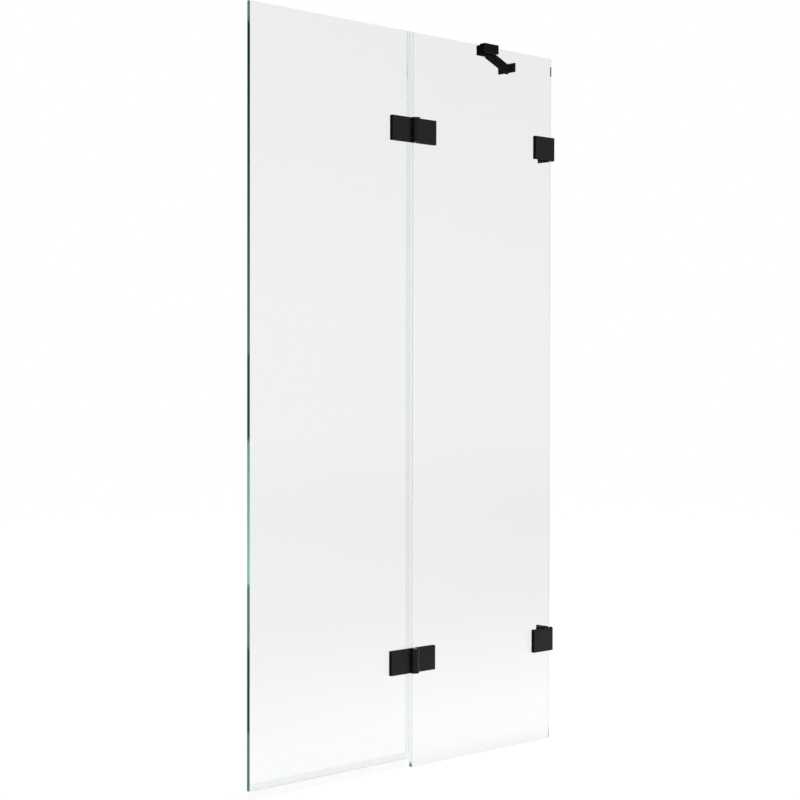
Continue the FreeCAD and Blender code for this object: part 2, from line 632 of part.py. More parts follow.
def support_arm():
    """The flat arm: a tongue in the clamp's lug at one end and a fork on the foot at the other."""
    body = new_body("support_arm", NEAR_X, NEAR_Y, ARM_Z)
    body.Placement.Rotation = FreeCAD.Rotation(FreeCAD.Vector(0, 0, 1), 1.0)
    body.setExpression("Placement.Rotation.Angle", "Sizes.arm_angle * 1 deg")
    half = "(Sizes.arm_thickness / 2)"
    half_height = "(Sizes.arm_height / 2)"
    half_tongue = "(Sizes.tongue_height / 2)"
    bar = new_sketch(body, "bar", "XY", f"-{half_height}")
    rectangle(bar, "Sizes.arm_shoulder", ARM_LENGTH, f"-{half}", half)
    extrude(body, bar, "Sizes.arm_height")
    rounded_end(body, "fork_end", f"-{half_height}", "Sizes.arm_height", ARM_LENGTH, half)
    tongue = new_sketch(body, "tongue", "XY", f"-{half_tongue}")
    rectangle(tongue, "0", "Sizes.arm_shoulder + Sizes.pivot_clear", f"-{half}", half)
    extrude(body, tongue, "Sizes.tongue_height")
    rounded_end(body, "tongue_end", f"-{half_tongue}", "Sizes.tongue_height", "0", half)
    slot = new_sketch(body, "fork_slot", "XZ", f"-{half}")
    half_slot = f"({half_tongue} + Sizes.tongue_clear)"
    rectangle(slot, f"{ARM_LENGTH} - {half} - Sizes.pivot_clear", f"{ARM_LENGTH} + {half}",
              f"-{half_slot}", half_slot)
    cut(body, slot, "Sizes.arm_thickness")
    pins = new_sketch(body, "pin_holes", "XY", f"-{half_height}")
    for x in ("0", ARM_LENGTH):
        circle(pins, x, "0", "Sizes.pivot_pin / 2 + Sizes.fit_clear")
    cut(body, pins, "Sizes.arm_height")


def support_foot():
    """The foot on the wall, with open screw holes and a lug in the arm's fork."""
    body = new_body("support_foot", FAR_X, FAR_Y, ARM_Z)
    half = "(Sizes.arm_thickness / 2)"
    half_height = "(Sizes.arm_height / 2)"
    half_tongue = "(Sizes.tongue_height / 2)"
    far_end = "(Sizes.foot_length - Sizes.foot_tail)"
    plate = new_sketch(body, "plate", "YZ", "Sizes.foot_standoff")
    rectangle(plate, "-Sizes.foot_tail", far_end, f"Sizes.foot_rise - {half_height}",
              f"Sizes.foot_rise + {half_height}")
    extrude(body, plate, "Sizes.foot_thickness")
    ease_edges(body, "Fillet", ((-1, 0, 0),), "Radius", "Sizes.plate_round")
    lug = new_sketch(body, "lug", "XY", f"-{half_tongue}")
    rectangle(lug, "0", "Sizes.foot_standoff + Sizes.plate_round", f"-{half}", half)
    extrude(body, lug, "Sizes.tongue_height")
    rounded_end(body, "lug_end", f"-{half_tongue}", "Sizes.tongue_height", "0", half)
    pin = new_sketch(body, "pin_hole", "XY", f"-{half_tongue}")
    circle(pin, "0", "0", "Sizes.pivot_pin / 2 + Sizes.fit_clear")
    cut(body, pin, "Sizes.tongue_height")
    holes = new_sketch(body, "wall_holes", "YZ", "Sizes.foot_standoff")
    last = f"({far_end} - Sizes.foot_hole_inset)"
    for y in (last, f"({last} - Sizes.foot_hole_spacing)"):
        circle(holes, y, "Sizes.foot_rise", "Sizes.foot_hole / 2")
    cut(body, holes, "Sizes.foot_thickness")


def pivot_pin(label, x, y):
    """An upright pin through one of the support's pivots."""
    body = new_body(label, x, y, ARM_Z)
    half = "(Sizes.arm_height / 2 - Sizes.pin_recess)"
    sketch = new_sketch(body, "round", "XY", f"-{half}")
    circle(sketch, "0", "0", "Sizes.pivot_pin / 2")
    extrude(body, sketch, f"(2 * {half})")


def check_document():
    """Stop if any feature failed or any piece is empty or invalid."""
    for item in DOC.Objects:
        if {"Invalid", "Error"} & set(item.State):
            raise RuntimeError(f"{item.Label} failed: {item.State}")
    for piece in PIECES:
        if piece.Shape.isNull() or not piece.Shape.isValid() or not piece.Shape.Solids:
            raise RuntimeError(f"{piece.Label} has no valid solid")


def export_pieces():
    """Write each piece to its own file, named after the piece."""
    os.makedirs("parts", exist_ok=True)
    for piece in PIECES:
        piece.Shape.exportStep(f"parts/{piece.Label}.step")
        print(piece.Label, len(piece.Shape.Solids), round(piece.Shape.Volume, 1))


def main():
    """Build every piece of the screen and export it."""
    fill_sheet()
    hinge_screws = f"({AXIS_X} + Sizes.screw_offset)"
    bracket_screws = f"({WALL_X} + {bracket_screw_x()})"
    glass_panel("fixed_glass", FIXED_EDGE, "Sizes.fixed_width / 2", "0",
                glass_holes(hinge_screws) + glass_holes(bracket_screws))
    glass_panel("door_glass", DOOR_FREE_EDGE, DOOR_EDGE, "Sizes.door_lift",
                glass_holes(f"({AXIS_X} - Sizes.screw_offset)"))
    for name, height in (("upper", UPPER_Z), ("lower", LOWER_Z)):
        hinge(name, height)
        wall_bracket(name, height)
    joint_seals()
    bottom_seal()
    support_clamp()
    support_liner()
    support_grubs()
    support_arm()
    support_foot()
    pivot_pin("arm_pivot_pin", NEAR_X, NEAR_Y)
    pivot_pin("foot_pivot_pin", FAR_X, FAR_Y)
    check_document()
    export_pieces()


main()
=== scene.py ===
"""Looks of the two-panel bath screen: clear glass, satin black hardware and clear seals.

Everything is in metres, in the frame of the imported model: +X to the wall, +Y to the bath side, +Z up.
"""

import json
import logging
import math
from dataclasses import dataclass, field, replace
from enum import Enum, IntEnum

import bpy
import numpy as np
from mathutils import Euler, Matrix, Vector


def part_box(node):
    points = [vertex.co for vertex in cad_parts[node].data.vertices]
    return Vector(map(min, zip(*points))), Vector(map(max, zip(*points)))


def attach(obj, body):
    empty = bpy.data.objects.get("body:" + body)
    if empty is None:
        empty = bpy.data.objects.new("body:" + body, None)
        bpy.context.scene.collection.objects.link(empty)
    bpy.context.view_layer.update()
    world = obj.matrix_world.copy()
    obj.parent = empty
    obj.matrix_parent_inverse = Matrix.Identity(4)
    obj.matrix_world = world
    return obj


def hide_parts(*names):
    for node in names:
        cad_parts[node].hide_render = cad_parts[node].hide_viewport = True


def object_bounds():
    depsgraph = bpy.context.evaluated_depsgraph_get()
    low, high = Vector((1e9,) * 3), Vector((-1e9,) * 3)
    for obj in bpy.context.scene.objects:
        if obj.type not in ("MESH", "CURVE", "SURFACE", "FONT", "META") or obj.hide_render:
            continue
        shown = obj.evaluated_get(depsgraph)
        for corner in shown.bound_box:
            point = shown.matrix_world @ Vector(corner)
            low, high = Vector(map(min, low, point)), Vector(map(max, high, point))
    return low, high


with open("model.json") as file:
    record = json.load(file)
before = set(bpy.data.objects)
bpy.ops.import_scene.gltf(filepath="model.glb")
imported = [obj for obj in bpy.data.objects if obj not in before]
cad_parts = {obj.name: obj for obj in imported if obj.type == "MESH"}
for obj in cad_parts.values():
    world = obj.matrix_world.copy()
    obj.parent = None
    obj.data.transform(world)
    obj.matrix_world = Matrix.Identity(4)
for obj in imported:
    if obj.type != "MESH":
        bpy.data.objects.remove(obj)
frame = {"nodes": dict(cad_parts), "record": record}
CAD_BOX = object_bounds()

LOG = logging.getLogger("bath_screen")
MILLIMETRE = 0.001
BAND_WOBBLE = 6.0 * MILLIMETRE
Colour = tuple[float, float, float]
Place = tuple[float, float, float]


class Slot(Enum):
    """The record's material slots that have one finish for all their nodes."""

    HARDWARE = "black_hardware"
    SCREWS = "black_screws"
    PINS = "pin_steel"
    GASKET = "gasket"
    BUSH = "bush_plastic"
    SEAL = "clear_seal"


class Ray(Enum):
    """Light Path outputs that tell what kind of ray looks at a surface."""

    CAMERA = "Is Camera Ray"
    GLOSSY = "Is Glossy Ray"
    TRANSMISSION = "Is Transmission Ray"
    MIRRORS = "Glossy Depth"


class Passage(Enum):
    """How light meets a polished glass end."""

    # An end's own colour here is its green together with its painted reflections.
    STOPPED = "the end shows its own colour from both sides"
    PASSED = "light passes the end as it passes the panel's face"
    LEAVING = "the end shows its own colour, and light from inside the glass leaves through it"


class PanelSide(IntEnum):
    """The sides of a glass panel, in the order of its materials."""

    CLEAR = 0
    ARRIS = 1
    END = 2
    END_ARRIS = 3
    OTHER_END = 4


class Tree:
    """A thin helper that adds and links nodes of one node tree."""

    def __init__(self, tree: bpy.types.NodeTree) -> None:
        """Wrap a node tree.

        Args:
            tree: The tree to work in.
        """
        self.tree = tree

    def add(self, kind: str, **inputs: object) -> bpy.types.Node:
        """Add a node and set its inputs by name, with spaces written as underscores.

        Args:
            kind: The node's type name.
            inputs: Default values by socket name.

        Returns:
            The new node.
        """
        node = self.tree.nodes.new(kind)
        for name, value in inputs.items():
            node.inputs[name.replace("_", " ")].default_value = value
        return node

    def math(self, operation: str, first: object, second: object) -> bpy.types.NodeSocket:
        """Combine two numbers or sockets with a Math node.

        Args:
            operation: The Math node's operation.
            first: A number or a socket.
            second: A number or a socket.

        Returns:
            The result's socket.
        """
        node = self.tree.nodes.new("ShaderNodeMath")
        node.operation = operation
        for socket, value in zip(node.inputs, (first, second)):
            if isinstance(value, bpy.types.NodeSocket):
                self.link(value, socket)
            else:
                socket.default_value = value
        return node.outputs[0]

    def span(self, value: bpy.types.NodeSocket, source: tuple[float, float],
             target: tuple[float, float]) -> bpy.types.NodeSocket:
        """Carry a value from one range to another, held at the ends.

        Args:
            value: The socket to carry over.
            source: Start and end of the value's range.
            target: What the start and the end become.

        Returns:
            The result's socket.
        """
        node = self.add("ShaderNodeMapRange", From_Min=source[0], From_Max=source[1],
                        To_Min=target[0], To_Max=target[1])
        self.link(value, node.inputs["Value"])
        return node.outputs["Result"]

    def link(self, source: bpy.types.NodeSocket, target: bpy.types.NodeSocket) -> None:
        """Link an output socket to an input socket."""
        self.tree.links.new(source, target)

    def show(self, shader: bpy.types.NodeSocket, kind: str = "ShaderNodeOutputMaterial") -> None:
        """Show a shader on the surface, in place of what was shown before.

        Args:
            shader: The shader's socket.
            kind: The output node's type name.
        """
        present = [node for node in self.tree.nodes if node.bl_idname == kind]
        output = present[0] if present else self.add(kind)
        self.link(shader, output.inputs["Surface"])

    def leaning_normal(self, lean: float = 0.3) -> bpy.types.NodeSocket:
        """Lean a narrow glass edge's normal to the panel's face, so that light passes as through the face.

        The normal keeps only its Y part less the lean, so that an end without one points to the room side.

        Args:
            lean: What is taken off the Y part.

        Returns:
            The leaning normal's socket.
        """
        shape = self.add("ShaderNodeNewGeometry")
        flat = self.add("ShaderNodeVectorMath")
        flat.operation = "MULTIPLY_ADD"
        flat.inputs[1].default_value = (0.0, 1.0, 0.0)
        flat.inputs[2].default_value = (0.0, -lean, 0.0)
        unit = self.add("ShaderNodeVectorMath")
        unit.operation = "NORMALIZE"
        self.link(shape.outputs["Normal"], flat.inputs[0])
        self.link(flat.outputs["Vector"], unit.inputs[0])
        return unit.outputs["Vector"]

    def sight(self) -> tuple[bpy.types.NodeSocket, bpy.types.NodeSocket, bpy.types.NodeSocket]:
        """Tell how a ray came to look at the studio.

        Returns:
            Three sockets: one for a plain look, straight or through glass, one for a mirror's look, and
            one for a look that was mirrored inside glass before it left.
        """
        rays = self.add("ShaderNodeLightPath")
        clear = rays.outputs[Ray.TRANSMISSION.value]
        mirrored = self.math("MINIMUM", rays.outputs[Ray.MIRRORS.value], 1.0)
        inside = self.math("MULTIPLY", clear, mirrored)
        plain = self.math("MAXIMUM", rays.outputs[Ray.CAMERA.value], self.math("SUBTRACT", clear, inside))
        return plain, rays.outputs[Ray.GLOSSY.value], inside


def empty_material(name: str) -> tuple[bpy.types.Material, Tree]:
    """Make a material with an empty node tree.

    Args:
        name: The material's name.

    Returns:
        The material and its tree helper.
    """
    material = bpy.data.materials.new(name)
    material.use_nodes = True
    material.node_tree.nodes.clear()
    return material, Tree(material.node_tree)


def new_material(name: str) -> tuple[bpy.types.Material, Tree, bpy.types.Node]:
    """Make a material with a Principled shader on its surface.

    Args:
        name: The material's name.

    Returns:
        The material, its tree helper and the shader node.
    """
    material, tree = empty_material(name)
    shader = tree.add("ShaderNodeBsdfPrincipled")
    tree.show(shader.outputs["BSDF"])
    return material, tree, shader


def grain_group() -> bpy.types.NodeTree:
    """Build the shared surface grain once: a slow patchiness and a fine height, from Object coordinates.

    Returns:
        The node group, with inputs Grain and Patch in cells per metre and outputs Patches and Height.
    """
    name = "surface_grain"
    if name in bpy.data.node_groups:
        return bpy.data.node_groups[name]
    group = bpy.data.node_groups.new(name, "ShaderNodeTree")
    for label in ("Grain", "Patch"):
        group.interface.new_socket(label, in_out="INPUT", socket_type="NodeSocketFloat")
    for label in ("Patches", "Height"):
        group.interface.new_socket(label, in_out="OUTPUT", socket_type="NodeSocketFloat")
    tree = Tree(group)
    given = tree.add("NodeGroupInput")
    result = tree.add("NodeGroupOutput")
    place = tree.add("ShaderNodeTexCoord")
    for source, target, detail in (("Patch", "Patches", 2.0), ("Grain", "Height", 3.0)):
        noise = tree.add("ShaderNodeTexNoise", Detail=detail, Roughness=0.55)
        tree.link(place.outputs["Object"], noise.inputs["Vector"])
        tree.link(given.outputs[source], noise.inputs["Scale"])
        tree.link(noise.outputs["Fac"], result.inputs[target])
    return group


@dataclass(frozen=True)
class GrainedFinish:
    """A solid finish with a fine bump, patchy roughness and a little drift of its colour.

    Attributes:
        name: The material's name.
        dark: Base colour in the darker patches.
        light: Base colour in the lighter patches.
        roughness: Lowest and highest roughness.
        grain: Cells of the fine bump per metre.
        patch: Cells of the slow patches per metre.
        bump: Strength of the bump.
        relief: Height of the bump in metres.
        metallic: Metallic value.
        specular: Specular level.
    """

    name: str
    dark: Colour
    light: Colour
    roughness: tuple[float, float]
    grain: float
    patch: float
    bump: float
    relief: float = 0.00005
    metallic: float = 0.0
    specular: float = 0.5

    def material(self) -> bpy.types.Material:
        """Build the material.

        Returns:
            The finished material.
        """
        material, tree, shader = new_material(self.name)
        grain = tree.add("ShaderNodeGroup")
        grain.node_tree = grain_group()
        grain.inputs["Grain"].default_value = self.grain
        grain.inputs["Patch"].default_value = self.patch
        ramp = tree.add("ShaderNodeValToRGB")
        ramp.color_ramp.elements[0].color = (*self.dark, 1.0)
        ramp.color_ramp.elements[1].color = (*self.light, 1.0)
        tree.link(grain.outputs["Patches"], ramp.inputs["Fac"])
        tree.link(ramp.outputs["Color"], shader.inputs["Base Color"])
        rough = tree.span(grain.outputs["Patches"], (0.0, 1.0), self.roughness)
        tree.link(rough, shader.inputs["Roughness"])
        bump = tree.add("ShaderNodeBump", Strength=self.bump, Distance=self.relief)
        tree.link(grain.outputs["Height"], bump.inputs["Height"])
        tree.link(bump.outputs["Normal"], shader.inputs["Normal"])
        shader.inputs["Metallic"].default_value = self.metallic
        shader.inputs["Specular IOR Level"].default_value = self.specular
        return material


@dataclass(frozen=True)
class ClearFinish:
    """A clear solid that refracts: the glass faces, their ground arris and the clear seals.

    Attributes:
        name: The material's name.
        tint: Colour left after the light has crossed the piece once.
        ior: Index of refraction.
        roughness: Roughness where the surface is clean and where it is hazy.
        patch: Cells of the haze per metre.
        lean: Whether the surface is too narrow to bend light, so that its normal leans to the Y axis.
    """

    name: str
    tint: Colour
    ior: float
    roughness: tuple[float, float]
    patch: float
    lean: bool = False

    def material(self) -> bpy.types.Material:
        """Build the material.

        Returns:
            The finished material.
        """
        material, tree, shader = new_material(self.name)
        haze = tree.add("ShaderNodeGroup")
        haze.node_tree = grain_group()
        haze.inputs["Patch"].default_value = self.patch
        rough = tree.span(haze.outputs["Patches"], (0.0, 1.0), self.roughness)
        tree.link(rough, shader.inputs["Roughness"])
        shader.inputs["Base Color"].default_value = (*self.tint, 1.0)
        shader.inputs["IOR"].default_value = self.ior
        shader.inputs["Transmission Weight"].default_value = 1.0
        if self.lean:
            tree.link(tree.leaning_normal(), shader.inputs["Normal"])
        return material


def edge_height_group() -> bpy.types.NodeTree:
    """Build the shared height along a glass end once, as a share from its low to its high end.

    The share is (z - Low) / (High - Low), with a fine wobble so that no band ends in a ruled line.

    Returns:
        The node group, with inputs Low and High in metres and output Share.
    """
    name = "edge_height"
    if name in bpy.data.node_groups:
        return bpy.data.node_groups[name]
    group = bpy.data.node_groups.new(name, "ShaderNodeTree")
    for label in ("Low", "High"):
        group.interface.new_socket(label, in_out="INPUT", socket_type="NodeSocketFloat")
    group.interface.new_socket("Share", in_out="OUTPUT", socket_type="NodeSocketFloat")
    tree = Tree(group)
    given = tree.add("NodeGroupInput")
    result = tree.add("NodeGroupOutput")
    place = tree.add("ShaderNodeTexCoord")
    parts = tree.add("ShaderNodeSeparateXYZ")
    tree.link(place.outputs["Object"], parts.inputs["Vector"])
    noise = tree.add("ShaderNodeTexNoise", Scale=160.0, Detail=1.0)
    tree.link(place.outputs["Object"], noise.inputs["Vector"])
    wobble = tree.math("MULTIPLY", tree.math("SUBTRACT", noise.outputs["Fac"], 0.5), BAND_WOBBLE)
    share = tree.add("ShaderNodeMapRange")
    tree.link(tree.math("ADD", parts.outputs["Z"], wobble), share.inputs["Value"])
    tree.link(given.outputs["Low"], share.inputs["From Min"])
    tree.link(given.outputs["High"], share.inputs["From Max"])
    tree.link(share.outputs["Result"], result.inputs["Share"])
    return group


@dataclass(frozen=True)
class PolishedEnd:
    """A polished glass end in the glass's own green, with painted reflections of the surroundings in
    stripes of deep and pale green along its height.

    Attributes:
        name: The material's name.
        deep: Colour of the darkest painted reflection on the end.
        pale: Colour of the lightest painted reflection on the end.
        reflection_bands: Height in metres and share of the pale colour, from the low end up, which paints
            the reflections.
        passage: How light meets the end.
        roughness: Surface roughness.
        specular: Specular level.
    """

    name: str
    deep: Colour
    pale: Colour
    reflection_bands: tuple[tuple[float, float], ...]
    passage: Passage = Passage.STOPPED
    roughness: float = 0.12
    specular: float = 0.3

    def material(self) -> bpy.types.Material:
        """Build the material.

        Returns:
            The finished material.
        """
        material, tree, shader = new_material(self.name)
        low, high = self.reflection_bands[0][0], self.reflection_bands[-1][0]
        height = tree.add("ShaderNodeGroup")
        height.node_tree = edge_height_group()
        height.inputs["Low"].default_value = low
        height.inputs["High"].default_value = high
        ramp = tree.add("ShaderNodeValToRGB")
        stops = ramp.color_ramp.elements
        while len(stops) < len(self.reflection_bands):
            stops.new(0.5)
        deep, pale = np.array(self.deep), np.array(self.pale)
        for stop, (level, share) in zip(stops, self.reflection_bands):
            stop.position = (level - low) / (high - low)
            stop.color = (*(deep + (pale - deep) * share), 1.0)
        # The ramp paints the reflections along the end's height into its base colour.
        tree.link(height.outputs["Share"], ramp.inputs["Fac"])
        tree.link(ramp.outputs["Color"], shader.inputs["Base Color"])
        shader.inputs["Roughness"].default_value = self.roughness
        shader.inputs["Specular IOR Level"].default_value = self.specular
        if self.passage is Passage.PASSED:
            shader.inputs["Transmission Weight"].default_value = 1.0
            tree.link(tree.leaning_normal(), shader.inputs["Normal"])
        elif self.passage is Passage.LEAVING:
            self.let_out(tree, shader)
        return material

    def let_out(self, tree: Tree, shader: bpy.types.Node) -> None:
        """Let light from inside the glass leave through the end, by the side that a ray meets.

        Args:
            tree: The material's tree.
            shader: The shader of the end as seen from outside.
        """
        glass = tree.add("ShaderNodeBsdfPrincipled", Base_Color=(*CLEAR_GLASS.tint, 1.0), Roughness=0.0,
                         IOR=CLEAR_GLASS.ior, Transmission_Weight=1.0)
        shape = tree.add("ShaderNodeNewGeometry")
        sides = tree.add("ShaderNodeMixShader")
        tree.link(shape.outputs["Backfacing"], sides.inputs["Fac"])
        tree.link(shader.outputs["BSDF"], sides.inputs[1])
        tree.link(glass.outputs["BSDF"], sides.inputs[2])
        tree.show(sides.outputs["Shader"])


SATIN_BLACK = GrainedFinish("satin_black_coat", (0.0108, 0.0112, 0.0112), (0.018, 0.0184, 0.0184),
                            (0.3, 0.4), grain=2600.0, patch=40.0, bump=0.12, specular=0.15)
# Painted shade: a darker copy of the satin black for the support, which stands behind the glass.
SHADED_BLACK = replace(SATIN_BLACK, name="painted_shade_black_coat", dark=(0.002, 0.0021, 0.0021),
                     light=(0.0045, 0.0046, 0.0046))
# Painted shade: a darker copy of the support's black for the plates' narrow sides, which face away from the
# key light.
SHADED_SIDE_BLACK = replace(SHADED_BLACK, name="painted_shade_sides", roughness=(0.75, 0.9))
SCREW_BLACK = GrainedFinish("black_oxide_screws", (0.012, 0.012, 0.013), (0.03, 0.03, 0.031), (0.28, 0.42),
                            grain=3500.0, patch=160.0, bump=0.15, metallic=0.6)
PIN_STEEL = GrainedFinish("ground_pin_steel", (0.46, 0.46, 0.47), (0.6, 0.6, 0.61), (0.22, 0.34),
                          grain=4200.0, patch=200.0, bump=0.1, metallic=1.0)
GASKET_BLACK = GrainedFinish("soft_black_gasket", (0.008, 0.008, 0.008), (0.014, 0.014, 0.014), (0.6, 0.75),
                             grain=1800.0, patch=60.0, bump=0.25)
BUSH_BLACK = GrainedFinish("bearing_plastic", (0.012, 0.012, 0.012), (0.02, 0.02, 0.02), (0.4, 0.5),
                           grain=2200.0, patch=80.0, bump=0.1)
CLEAR_GLASS = ClearFinish("clear_toughened_glass", (0.922, 0.939, 0.931), 1.5, (0.0, 0.015), patch=9.0)
# Painted reflections: each end's stripes of deep and pale green along its height stand for the surroundings
# piped through the polished glass; only the green is the glass's own.
DOOR_END = PolishedEnd("polished_door_end", (0.008, 0.028, 0.021), (0.32, 0.7, 0.6), (
    (0.02, 0.32), (0.124, 0.32), (0.134, 0.075), (0.285, 0.075), (0.295, 0.32), (0.405, 0.32),
    (0.413, 1.0), (0.676, 0.56), (0.684, 0.075), (0.836, 0.075), (0.844, 0.26), (1.125, 0.095),
    (1.312, 0.035), (1.458, 0.0), (1.468, 0.33), (1.5, 0.33)))
FIXED_END = PolishedEnd("polished_fixed_end", (0.03, 0.055, 0.046), (0.86, 0.93, 0.9), (
    (0.0, 0.0), (0.006, 0.0), (0.009, 1.0), (1.5, 1.0)), passage=Passage.PASSED)
DOOR_ARRIS = replace(DOOR_END, name="polished_door_arris")
FIXED_ARRIS = PolishedEnd("polished_fixed_arris", (0.04, 0.07, 0.06), (0.55, 0.6, 0.585), (
    (0.0, 0.0), (0.006, 0.0), (0.009, 1.0), (1.5, 1.0)))
OTHER_ENDS = PolishedEnd("polished_other_ends", (0.05, 0.16, 0.125), (0.22, 0.48, 0.4), (
    (0.0, 0.5), (0.3, 0.8), (0.7, 0.3), (1.1, 0.6), (1.4, 0.2), (1.5, 0.6)), passage=Passage.LEAVING)
GROUND_ARRIS = ClearFinish("ground_glass_arris", (0.922, 0.939, 0.931), 1.5, (0.05, 0.12), patch=120.0,
                           lean=True)
CLEAR_VINYL = ClearFinish("clear_seal_vinyl", (0.955, 0.96, 0.958), 1.12, (0.04, 0.09), patch=60.0)


def face_normals(mesh: bpy.types.Mesh) -> np.ndarray:
    """Read the way that each face of a mesh points.

    Args:
        mesh: The mesh.

    Returns:
        One unit normal per face, as rows.
    """
    normals = np.empty(len(mesh.polygons) * 3, dtype=np.float32)
    mesh.polygons.foreach_get("normal", normals)
    return normals.reshape(-1, 3)


@dataclass
class GlassPanels:
    """The two glass panels: clear faces, polished visible ends and a fine ground arris between them.

    Attributes:
        square: A face whose normal has at least this much of one axis belongs to that side.
        end_lean: A face whose normal leans at least this much to the free edge belongs to the end.
        ends: The finishes, with painted reflections, of each panel's end towards the door's free edge and
            of that end's arris.
    """

    square: float = 0.95
    end_lean: float = 0.3
    ends: dict[str, tuple[PolishedEnd, PolishedEnd]] = field(default_factory=lambda: {
        "door_glass": (DOOR_END, DOOR_ARRIS),
        "fixed_glass": (FIXED_END, FIXED_ARRIS),
    })

    def dress(self) -> None:
        """Dress both panels, each face by the way it points."""
        shared = {PanelSide.CLEAR: CLEAR_GLASS.material(), PanelSide.ARRIS: GROUND_ARRIS.material(),
                  PanelSide.OTHER_END: OTHER_ENDS.material()}
        for name, (end, end_arris) in self.ends.items():
            own = {PanelSide.END: end.material(), PanelSide.END_ARRIS: end_arris.material()}
            materials = shared | own
            mesh = frame["nodes"][name].data
            mesh.materials.clear()
            for side in PanelSide:
                mesh.materials.append(materials[side])
            mesh.polygons.foreach_set("material_index", self.sides(mesh))
            mesh.update()
            LOG.info("dressed %s in %d finishes", name, len(mesh.materials))

    def sides(self, mesh: bpy.types.Mesh) -> np.ndarray:
        """Sort a panel's faces by the way they point.

        Args:
            mesh: The panel's mesh.

        Returns:
            One PanelSide per face.
        """
        normals = face_normals(mesh)
        slanted = np.abs(normals).max(axis=1) < self.square
        visible_end = normals[:, 0] < -self.end_lean
        broad = np.abs(normals[:, 1]) > self.square
        cases = (visible_end & slanted, visible_end, slanted, broad)
        found = (PanelSide.END_ARRIS, PanelSide.END, PanelSide.ARRIS, PanelSide.CLEAR)
        return np.select(cases, found, default=PanelSide.OTHER_END).astype(np.int32)


@dataclass
class CadPieces:
    """The CAD nodes that keep their shape and get a procedural finish.

    Attributes:
        finishes: The finish of each material slot.
        support: The finish of the support's pieces: a darker copy of the plates' black, which paints the
            dimmer light behind the glass.
        support_nodes: The support's pieces.
        narrow: A darker, rougher copy of the black, which paints shade on the plates' narrow sides.
        broad: A plate's face whose normal has less than this much of Y is a narrow side.
    """

    finishes: dict[Slot, GrainedFinish] = field(default_factory=lambda: {
        Slot.HARDWARE: SATIN_BLACK,
        Slot.SCREWS: SCREW_BLACK,
        Slot.PINS: PIN_STEEL,
        Slot.GASKET: GASKET_BLACK,
        Slot.BUSH: BUSH_BLACK,
    })
    support: GrainedFinish = SHADED_BLACK
    support_nodes: tuple[str, ...] = ("support_clamp", "support_arm", "support_foot")
    narrow: GrainedFinish = SHADED_SIDE_BLACK
    broad: float = 0.5

    def dress(self) -> None:
        """Give every kept node its finish."""
        materials = {slot.value: finish.material() for slot, finish in self.finishes.items()}
        deep = self.support.material()
        sides = self.narrow.material()
        for row in frame["record"]["subparts"]:
            # The support's pieces take the darker copy, which paints their shade.
            material = deep if row["node"] in self.support_nodes else materials.get(row["material_slot"])
            if material is None:
                continue
            mesh = frame["nodes"][row["node"]].data
            mesh.materials.clear()
            mesh.materials.append(material)
            if material is materials[Slot.HARDWARE.value]:
                # The plates' narrow sides take the darker copy, which paints their shade.
                mesh.materials.append(sides)
                is_side = np.abs(face_normals(mesh)[:, 1]) < self.broad
                mesh.polygons.foreach_set("material_index", is_side.astype(np.int32))
                mesh.update()
            LOG.info("dressed %s as %s", row["node"], material.name)


def rounded_outline(corners: np.ndarray, radius: float, limit: float = 0.45, steps: int = 6) -> np.ndarray:
    """Round the corners of a closed outline.

    Each corner P becomes the curve (1-t)^2 S + 2t(1-t) P + t^2 E, where S and E lie on its two sides, the
    radius away from P, or the limit times the side's length if that is less.

    Args:
        corners: The outline's corners in order, one row each.
        radius: How far from a corner its rounding starts.
        limit: The largest share of a side that one rounding takes.
        steps: Points on each rounding.

    Returns:
        The rounded outline's points.
    """
    before = np.roll(corners, 1, axis=0) - corners
    after = np.roll(corners, -1, axis=0) - corners
    length_before = np.linalg.norm(before, axis=1, keepdims=True)
    length_after = np.linalg.norm(after, axis=1, keepdims=True)
    start = corners + before / length_before * np.minimum(radius, limit * length_before)
    end = corners + after / length_after * np.minimum(radius, limit * length_after)
    t = np.linspace(0.0, 1.0, steps)[None, :, None]
    curve = (1 - t) ** 2 * start[:, None] + 2 * t * (1 - t) * corners[:, None] + t ** 2 * end[:, None]
    return curve.reshape(-1, 2)


def prism(name: str, rings: np.ndarray, smooth_angle: float = math.radians(35)) -> bpy.types.Object:
    """Make a closed mesh by joining rings of points in order and closing both ends.

    Args:
        name: The object's name.
        rings: Points as an array of ring, point and coordinate.
        smooth_angle: Edges flatter than this are shaded smooth.

    Returns:
        The new object, linked to the scene.
    """
    count, around, _ = rings.shape
    here = np.arange(around)
    following = np.roll(here, -1)
    near = (np.arange(count - 1) * around)[:, None]
    far = near + around
    sides = np.stack([near + here, near + following, far + following, far + here], axis=-1)
    faces = sides.reshape(-1, 4).tolist()
    faces.append(here[::-1].tolist())
    faces.append((here + (count - 1) * around).tolist())
    mesh = bpy.data.meshes.new(name)
    mesh.from_pydata(rings.reshape(-1, 3).tolist(), [], faces)
    mesh.polygons.foreach_set("use_smooth", np.ones(len(faces), dtype=bool))
    mesh.set_sharp_from_angle(angle=smooth_angle)
    mesh.update()
    piece = bpy.data.objects.new(name, mesh)
    bpy.context.scene.collection.objects.link(piece)
    return piece


